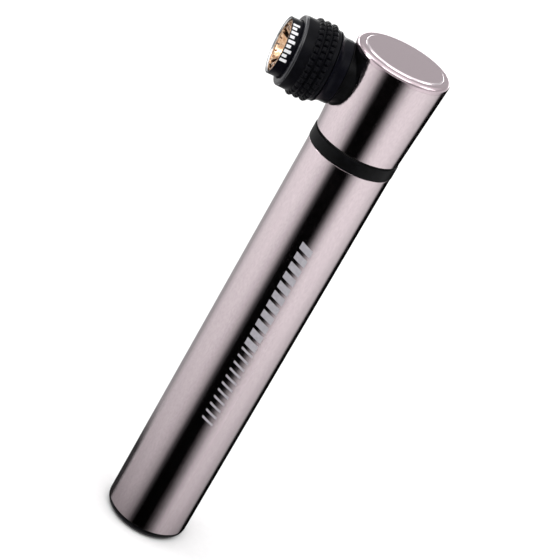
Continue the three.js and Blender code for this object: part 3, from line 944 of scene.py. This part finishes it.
def card(name, level, start, stop, reach, across, upwards, blend="SCREEN"):
    """A black card on the floor that only shows in reflections: the part of the floor that shows
    in the tube from start to stop across it, up to the height of reach. across is a list of (place
    across the tube, cover), upwards of (height on the tube, cover)."""
    columns, rows = 64, 40
    bm = bmesh.new()
    uv = bm.loops.layers.uv.new("across_and_up")
    grid = []
    for i in range(columns + 1):
        place = start + (stop - start) * i / columns
        heights = [level + 0.2 + (reach - level - 0.2) * j / rows for j in range(rows + 1)]
        grid.append([(bm.verts.new(mirrored_spot(place, h, level)), place, h / reach) for h in heights])
    for i in range(columns):
        for j in range(rows):
            corners = [grid[i][j], grid[i][j + 1], grid[i + 1][j + 1], grid[i + 1][j]]
            face = bm.faces.new([corner[0] for corner in corners])
            for loop, (_, u, v) in zip(face.loops, corners):
                loop[uv].uv = (u, v)
    mesh = bpy.data.meshes.new(name)
    bm.to_mesh(mesh)
    bm.free()
    mesh.transform(UPRIGHT)
    by_share = [(h / reach, cover) for h, cover in upwards]
    mesh.materials.append(card_material(name, across, by_share, blend))
    made = bpy.data.objects.new(name, mesh)
    made.rotation_euler.z = math.radians(CAMERA_AZIMUTH - 90)
    bpy.context.scene.collection.objects.link(made)
    made.visible_camera = False
    made.visible_diffuse = False
    made.visible_shadow = False
    made.visible_transmission = False


def softbox(name, azimuth, elevation, distance, size, power):
    """An area light that faces the pump. Its distance and size are in metres."""
    data = bpy.data.lights.new(name, "AREA")
    data.shape = "RECTANGLE"
    data.size, data.size_y = size
    data.energy = power
    made = bpy.data.objects.new(name, data)
    away = direction(azimuth, elevation)
    made.location = Vector((0, 0, LIGHTS_AIM * MM)) + away * distance
    made.rotation_mode = "QUATERNION"
    made.rotation_quaternion = (-away).to_track_quat("-Z", "Y")
    bpy.context.scene.collection.objects.link(made)


def soft_sky(world):
    """Dimmest at the height that the lid mirrors, brightest overhead, and a little dimmer behind the
    photographer."""
    world.use_nodes = True
    tree = world.node_tree
    place = add(tree, "ShaderNodeTexCoord")
    split = add(tree, "ShaderNodeSeparateXYZ")
    facing = add(tree, "ShaderNodeVectorMath", operation="DOT_PRODUCT")
    facing.inputs[1].default_value = direction(CAMERA_AZIMUTH, 0)
    both = add(tree, "ShaderNodeMix", data_type="RGBA", blend_type="MULTIPLY")
    both.inputs["Factor"].default_value = 1
    tree.links.new(place.outputs["Generated"], split.inputs["Vector"])
    tree.links.new(place.outputs["Generated"], facing.inputs[0])
    heights = [(0.0, 0.62), (0.12, 0.60), (0.32, 0.37), (0.50, 0.44), (0.72, 0.85), (1.0, 1.0)]
    by_height = shade_ramp(tree, split.outputs["Z"], heights)
    by_height.color_ramp.interpolation = "B_SPLINE"
    front = between(tree, facing.outputs["Value"], 0, 1, -1, 1)
    by_front = shade_ramp(tree, front, [(0.0, 1.0), (0.68, 1.0), (0.86, 0.62), (1.0, 0.60)])
    tree.links.new(by_height.outputs["Color"], both.inputs["A"])
    tree.links.new(by_front.outputs["Color"], both.inputs["B"])
    tree.links.new(both.outputs["Result"], tree.nodes["Background"].inputs["Color"])
    tree.nodes["Background"].inputs["Strength"].default_value = 1.38


# How much of the floor the cards hide, by place across the tube and by height on it.
LEFT_HALF = [
    (0.0, 0.55), (0.017, 0.60), (0.035, 0.56), (0.05, 0.40), (0.09, 0.16), (0.2, 0.10), (0.25, 0.15),
    (0.30, 0.27), (0.35, 0.50), (0.395, 0.90), (0.43, 1.0), (1.0, 1.0),
]
RIGHT_HALF = [
    (0.0, 1.0), (0.570, 1.0), (0.60, 0.92), (0.65, 0.53), (0.70, 0.17), (0.75, 0.03), (0.85, 0.05),
    (0.90, 0.20), (0.940, 0.36), (0.954, 0.60), (0.962, 1.0), (1.0, 1.0),
]
LEFT_UPWARDS = [(0, 0.60), (6, 0.56), (14.5, 0.46), (36, 0.29), (62, 0.18), (89, 0.085), (127, 0.0)]
RIGHT_UPWARDS = [(0, 0.42), (6, 0.39), (14.5, 0.33), (36, 0.25), (62, 0.17), (89, 0.08), (127, 0.0)]
LEFT_EDGE = [(0.0, 1.0), (0.05, 1.0), (0.07, 0.0)]
LEFT_EDGE_UPWARDS = [(0, 0.85), (22, 0.85), (38, 0.0)]
STRIPE_FOOT = [(0.55, 0.0), (0.60, 0.55), (0.65, 0.50), (0.71, 0.12), (0.76, 0.0)]
STRIPE_FOOT_UPWARDS = [(0, 1.0), (20, 0.9), (45, 0.4), (78, 0.0)]


def studio():
    scene = bpy.context.scene
    scene.view_settings.view_transform = "Standard"
    scene.world = bpy.data.worlds.new("studio")
    soft_sky(scene.world)
    floor()
    card("left_half", 0.6, 0.0, 0.5, 240, LEFT_HALF, LEFT_UPWARDS)
    card("right_half", 0.6, 0.5, 1.0, 240, RIGHT_HALF, RIGHT_UPWARDS)
    card("left_edge", 0.8, 0.0, 0.08, 40, LEFT_EDGE, LEFT_EDGE_UPWARDS, "MULTIPLY")
    card("stripe_foot", 0.8, 0.54, 0.77, 80, STRIPE_FOOT, STRIPE_FOOT_UPWARDS, "MULTIPLY")
    softbox("front_panel", CAMERA_AZIMUTH, 60, 1.6, (1.6, 0.7), 7.0)
    softbox("left_panel", CAMERA_AZIMUTH - 95, 42, 1.6, (0.8, 0.8), 3.4)
    softbox("right_panel", CAMERA_AZIMUTH + 95, 42, 1.6, (0.8, 0.8), 3.4)
    softbox("left_strip", -95, 12, 1.2, (0.30, 0.8), 3.2)
    softbox("back_strip", CAMERA_AZIMUTH + 180, 5, 1.4, (1.3, 0.14), 2.2)
    softbox("back_left_strip", -150, 9, 1.2, (0.6, 0.25), 1.4)


handle_tube()
end_cap()
guide_ring()
head_bumper()
tube_print()
barrel_tube()
head_shell()
head_core()
top_cap()
top_disc()
chuck_body()
sleeve()
collar()
mouth_ring()
collar_print()
jaws()
gland()
gland_washer()
valve_spring()
repaint_carried_nodes()
camera()
studio()
